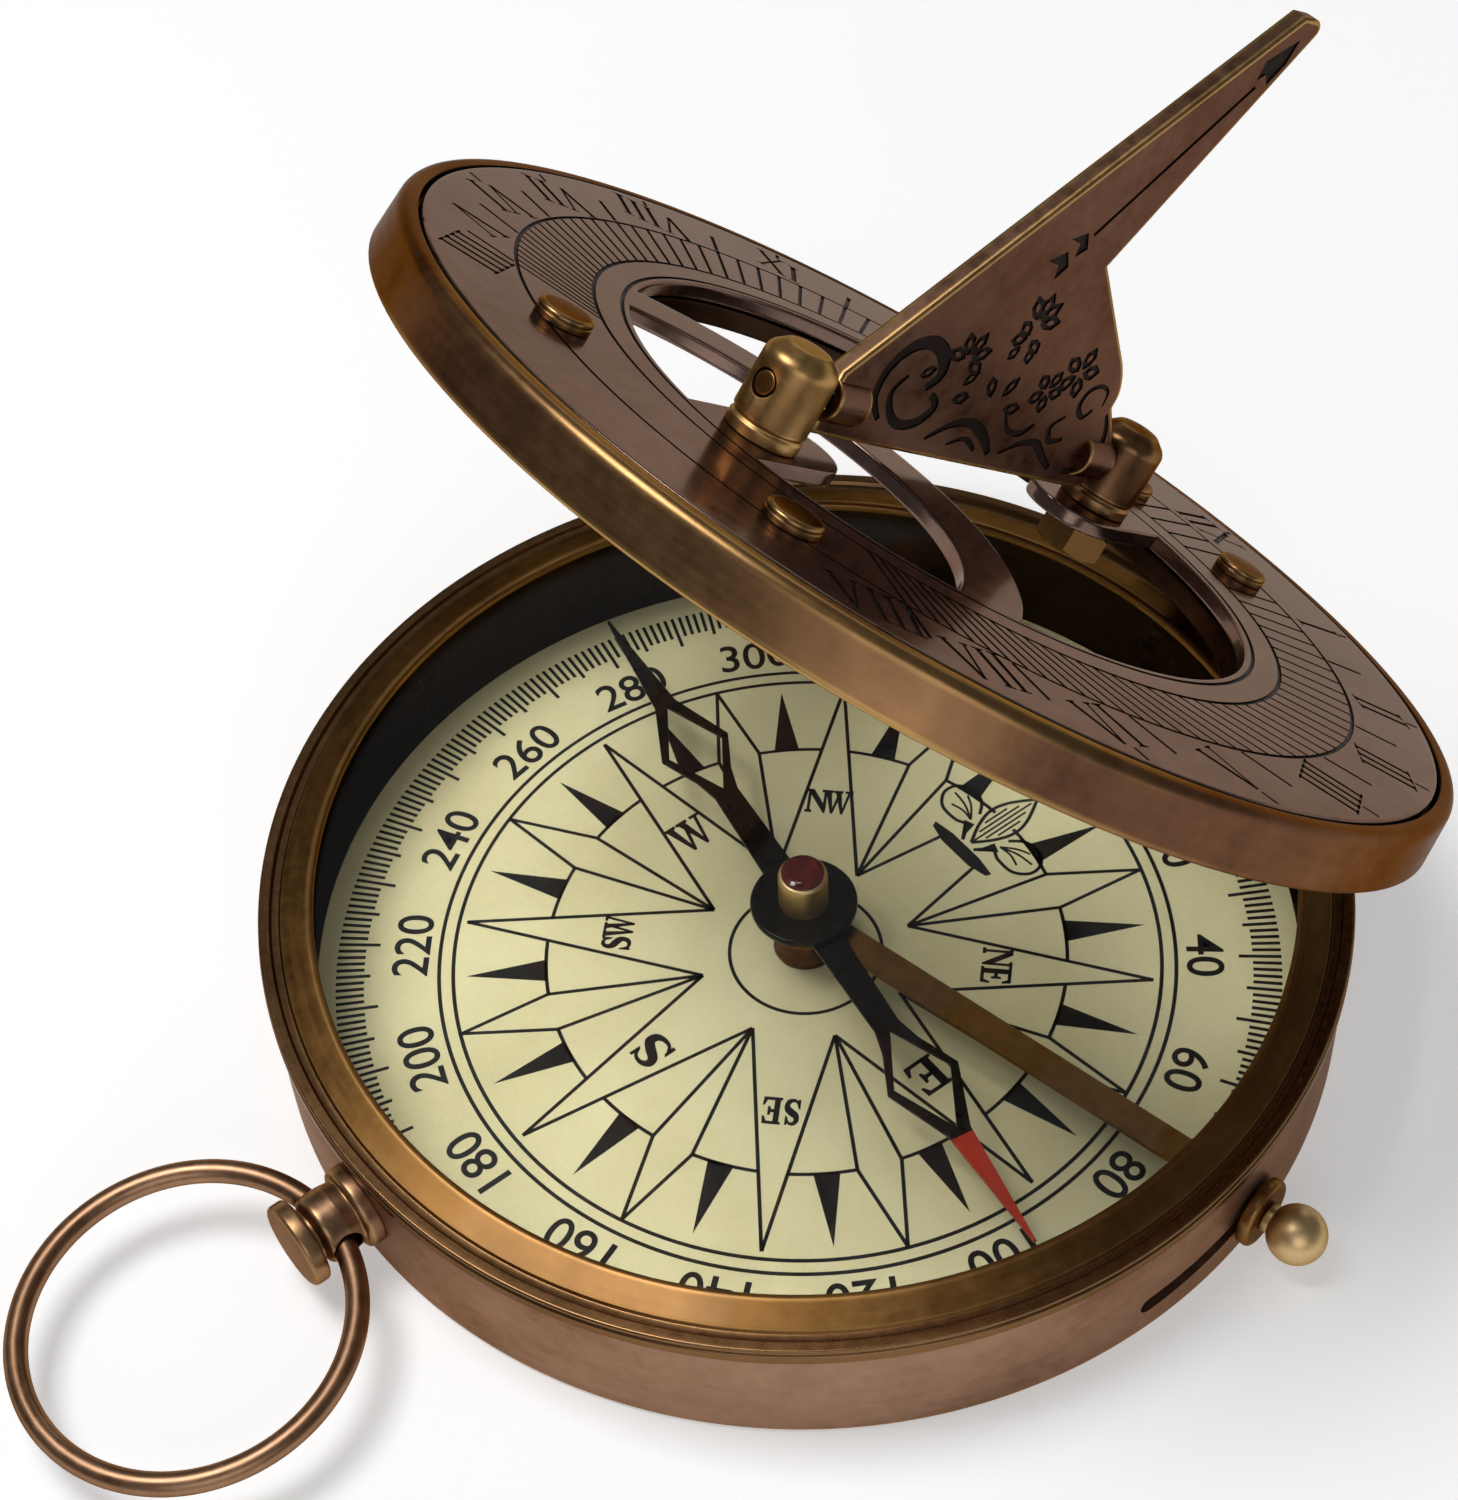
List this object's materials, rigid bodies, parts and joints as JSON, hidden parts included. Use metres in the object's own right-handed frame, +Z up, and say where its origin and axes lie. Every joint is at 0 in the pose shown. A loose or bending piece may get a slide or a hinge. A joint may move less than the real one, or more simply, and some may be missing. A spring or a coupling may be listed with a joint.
{
  "type": "sundial compass",
  "caption": "Round brass pocket compass with a needle lock and a hinged lid that carries a sundial plate with a folding gnomon.",
  "frame": {"origin": "on the case's axis at the case's flat underside", "axes": "+Z up, +Y to the card's north and the lid hinge, -Y to the pendant and the bail, +X to the card's east and the lock knob"},
  "size_m": [0.0851, 0.1114, 0.0696],
  "materials": {
    "patina_brass": "satin brown patina",
    "warm_brass": "worn golden brown",
    "bright_brass": "polished",
    "dark_brass": "dark brown lacquer",
    "lacquered_plate": "glossy lacquer over grey brown patina, engraved",
    "black_steel": "blackened, one tip red",
    "printed_card": "cream paper with black print",
    "glass": "clear",
    "jewel": "polished dark red"
  },
  "bodies": {
    "base": {"case_cup": "patina_brass", "dial_card": "printed_card", "glass_seat_ring": "dark_brass", "crystal_glass": "glass", "bezel_ring": "warm_brass", "pivot_post": "bright_brass", "pendant_stem": "patina_brass", "case_hinge_leaf": "patina_brass", "hinge_pin": "bright_brass"},
    "lift": {"lift_bush": "bright_brass"},
    "lock": {"lock_arm": "warm_brass", "lock_stem": "bright_brass", "lock_collar": "warm_brass", "lock_knob": "bright_brass"},
    "needle_set": {"needle": "black_steel", "needle_hub": "black_steel", "needle_cap": "bright_brass", "needle_jewel": "jewel"},
    "lid": {"lid_rim": "dark_brass", "lid_hinge_knuckle": "dark_brass", "sundial_plate": "lacquered_plate", "plate_stud_ne": "bright_brass", "plate_stud_nw": "bright_brass", "plate_stud_se": "bright_brass", "plate_stud_sw": "bright_brass", "gnomon_post_south": "bright_brass", "gnomon_post_north": "bright_brass", "post_nut_south": "warm_brass", "post_nut_north": "warm_brass", "pivot_pin_south": "warm_brass", "pivot_pin_north": "warm_brass"},
    "gnomon_plate": {"gnomon": "dark_brass"},
    "bail": {"bail_ring": "warm_brass"}
  },
  "joints": [
    {"name": "lid_hinge", "type": "hinge", "parent": "base", "child": "lid", "pos_m": [0, 0.0425, 0.01241], "axis": [-1, 0, 0], "range_deg": [-41.25, 70]},
    {"name": "gnomon_fold", "type": "hinge", "parent": "lid", "child": "gnomon_plate", "pos_m": [0, 0.01539, 0.04595], "axis": [0, 0.7518, -0.6593], "range_deg": [-88, 88]},
    {"name": "arm_lift", "type": "slide", "parent": "base", "child": "lift", "axis": [0, 0, 1], "range_m": [-0.00066, 0]},
    {"name": "lock_turn", "type": "hinge", "parent": "lift", "child": "lock", "pos_m": [0, 0, 0.005], "axis": [0, 0, 1], "range_deg": [-15, 0]},
    {"name": "needle_spin", "type": "hinge", "parent": "lift", "child": "needle_set", "pos_m": [0, 0, 0.006], "axis": [0, 0, 1], "continuous": true},
    {"name": "bail_swing", "type": "hinge", "parent": "base", "child": "bail", "pos_m": [0, -0.04235, 0.0058], "axis": [-1, 0, 0], "range_deg": [-88, 91]}
  ],
  "couplings": [
    {"joint": "arm_lift", "follows": "lock_turn", "m_per_rad": 0.0024828}
  ]
}
